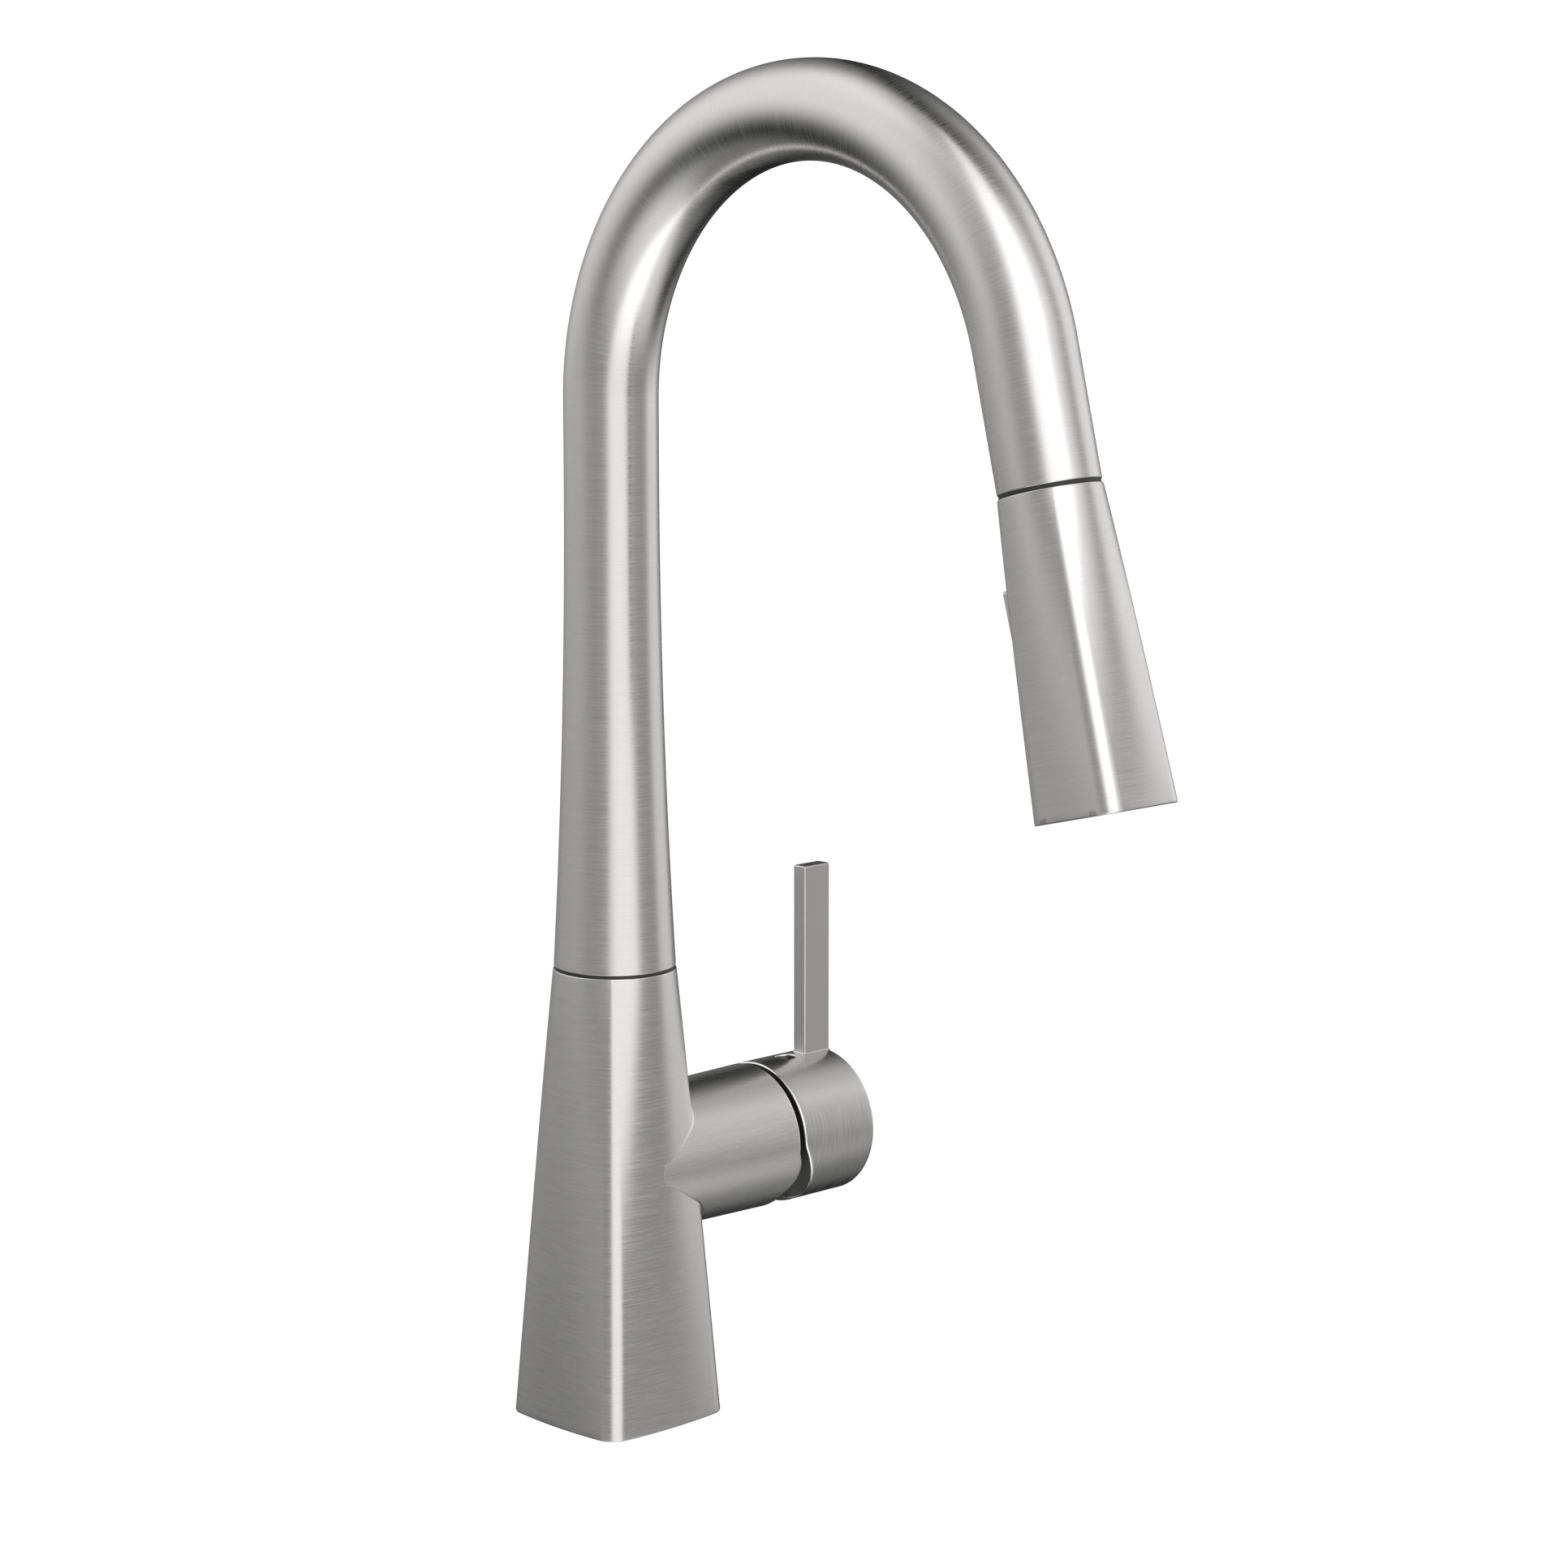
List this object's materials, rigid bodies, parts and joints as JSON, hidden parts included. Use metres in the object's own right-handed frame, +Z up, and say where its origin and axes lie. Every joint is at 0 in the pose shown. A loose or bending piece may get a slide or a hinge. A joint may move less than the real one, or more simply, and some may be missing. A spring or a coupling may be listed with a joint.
{
  "type": "pull down kitchen faucet",
  "caption": "Single-lever kitchen faucet: tapered square-to-round body, swivelling high-arc spout and pull-down spray head with a two-way toggle.",
  "frame": {"origin": "centre of the base on the deck plane, at the mouth of the shank socket", "axes": "+Z up the column, the spout reaches toward -Y, the valve and its lever stick out toward +X"},
  "size_m": [0.1161, 0.2375, 0.4128],
  "materials": {
    "brushed_stainless": "brushed",
    "machined_steel": "machined",
    "brass": "machined",
    "copper": "drawn",
    "black_plastic": "matte",
    "grey_plastic": "moulded",
    "white_plastic": "moulded",
    "blue_plastic": "moulded",
    "ceramic": "lapped",
    "black_rubber": "matte",
    "nozzle_rubber": "matte",
    "hose_braid": "braided"
  },
  "bodies": {
    "base": {"base_body": "brushed_stainless", "deck_gasket": "black_rubber", "waterway_block": "brass", "waterway_screws": "machined_steel", "outlet_tube": "copper", "spout_post": "brass", "swivel_washer": "black_plastic", "lower_glide_ring": "white_plastic", "upper_glide_ring": "white_plastic", "retaining_clip": "machined_steel", "hose_guide": "white_plastic", "cartridge_port_seals": "black_rubber", "cartridge_base": "grey_plastic", "cartridge_housing": "white_plastic", "fixed_disc": "ceramic", "bonnet_nut": "black_plastic"},
    "spout": {"spout_tube": "brushed_stainless", "spout_swivel_sleeve": "white_plastic", "dock_collar": "black_plastic", "dock_magnet": "machined_steel", "spray_hose": "hose_braid", "hose_ferrule_lower": "machined_steel", "hose_quick_connector": "white_plastic"},
    "hose_end": {"hose_ferrule_upper": "machined_steel", "hose_tail": "brass", "tail_oring": "black_rubber"},
    "spray_head": {"hose_swivel_nut": "brass", "inlet_nipple": "brass", "inlet_screen": "machined_steel", "head_dock_ring": "machined_steel", "head_shell": "brushed_stainless", "head_core": "grey_plastic", "check_valve_body": "white_plastic", "check_spring": "machined_steel", "toggle_pin": "machined_steel", "spray_face": "grey_plastic", "nozzle_pad": "nozzle_rubber", "aerator_housing": "grey_plastic", "aerator_screen": "machined_steel"},
    "check_valve": {"check_poppet": "blue_plastic"},
    "toggle": {"toggle_paddle": "brushed_stainless"},
    "diverter": {"diverter_spool": "brass", "spool_orings": "black_rubber"},
    "carriage": {"cartridge_carriage": "grey_plastic", "carriage_oring": "black_rubber", "stem_pin": "machined_steel"},
    "disc": {"moving_disc": "ceramic", "disc_driver": "grey_plastic"},
    "handle": {"cartridge_stem": "machined_steel", "handle_cap": "brushed_stainless", "handle_set_screw": "machined_steel", "lever": "brushed_stainless"}
  },
  "joints": [
    {"name": "spout_swivel", "type": "hinge", "parent": "base", "child": "spout", "pos_m": [0, 0, 0.17], "axis": [0, 0, 1], "continuous": true},
    {"name": "head_pull", "type": "slide", "parent": "spout", "child": "hose_end", "axis": [0, -0.2419, -0.9703], "range_m": [0, 0.2], "stiffness_N_per_m": 10, "springref_m": -0.6, "deforming": ["spray_hose"]},
    {"name": "head_turn", "type": "hinge", "parent": "hose_end", "child": "spray_head", "pos_m": [0, -0.17577, 0.29578], "axis": [0, -0.2419, -0.9703], "continuous": true},
    {"name": "check_lift", "type": "slide", "parent": "spray_head", "child": "check_valve", "axis": [0, -0.2419, -0.9703], "range_m": [0, 0.0015], "stiffness_N_per_m": 5, "springref_m": -0.01, "deforming": ["check_spring"]},
    {"name": "toggle_rock", "type": "hinge", "parent": "spray_head", "child": "toggle", "pos_m": [0, -0.17815, 0.25319], "axis": [1, 0, 0], "range_deg": [0, 6]},
    {"name": "diverter_shift", "type": "slide", "parent": "spray_head", "child": "diverter", "axis": [0, -0.2419, -0.9703], "range_m": [0, 0.00052]},
    {"name": "handle_turn", "type": "hinge", "parent": "base", "child": "carriage", "pos_m": [0.05, 0, 0.0779], "axis": [1, 0, 0], "range_deg": [-45, 45]},
    {"name": "handle_tilt", "type": "hinge", "parent": "carriage", "child": "handle", "pos_m": [0.05, 0, 0.0779], "axis": [0, 1, 0], "range_deg": [0, 20]},
    {"name": "disc_slide", "type": "slide", "parent": "carriage", "child": "disc", "axis": [0, 0, 1], "range_m": [0, 0.0043]}
  ],
  "couplings": [
    {"joint": "toggle_rock", "follows": "diverter_shift", "rad_per_m": 198.02},
    {"joint": "disc_slide", "follows": "handle_tilt", "m_per_rad": 0.01205}
  ]
}
